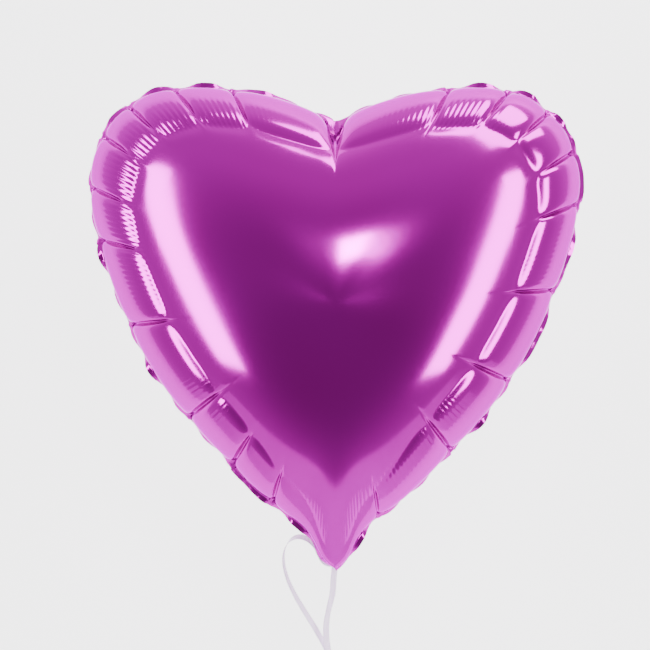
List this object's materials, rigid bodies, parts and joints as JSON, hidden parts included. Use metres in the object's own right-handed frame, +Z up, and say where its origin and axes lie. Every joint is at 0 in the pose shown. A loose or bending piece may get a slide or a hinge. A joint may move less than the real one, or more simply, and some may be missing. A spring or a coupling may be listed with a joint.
{
  "type": "foil heart balloon",
  "caption": "Inflated heart-shaped foil balloon with a puckered sealed rim, a gathered neck, a folded inflation tail and curling ribbon.",
  "frame": {"origin": "the middle of the gathered neck, inside the ribbon's turns, which is the point that holds the balloon", "axes": "+Z up the heart's centre line, +X across the heart, -Y out of the front panel"},
  "size_m": [0.4027, 0.188, 0.5483],
  "materials": {
    "foil": "magenta metallised film, mirror bright with soft wrinkles",
    "valve_film": "thin clear polyethylene film",
    "ribbon": "pale lilac curling ribbon, slightly see-through"
  },
  "bodies": {
    "balloon": {"front_panel": "foil", "back_panel": "foil", "neck_gather": "foil", "valve_front_film": "valve_film", "valve_back_film": "valve_film"},
    "tail": {"tail_front_ply": "foil", "tail_back_ply": "foil", "valve_inlet": "valve_film"},
    "ribbon": {"ribbon_wrap": "ribbon", "ribbon_knot": "ribbon", "ribbon_long": "ribbon", "ribbon_short": "ribbon", "ribbon_coil": "ribbon", "coil_tie": "ribbon"}
  },
  "joints": [
    {"name": "tail_fold", "type": "hinge", "parent": "balloon", "child": "tail", "pos_m": [0, 0.00885, 0], "axis": [-1, 0, 0], "range_deg": [0, 95]},
    {"name": "ribbon_swing", "type": "hinge", "parent": "balloon", "child": "ribbon", "pos_m": [0, 0, 0], "axis": [0, -1, 0], "range_deg": [-10, 35]}
  ]
}
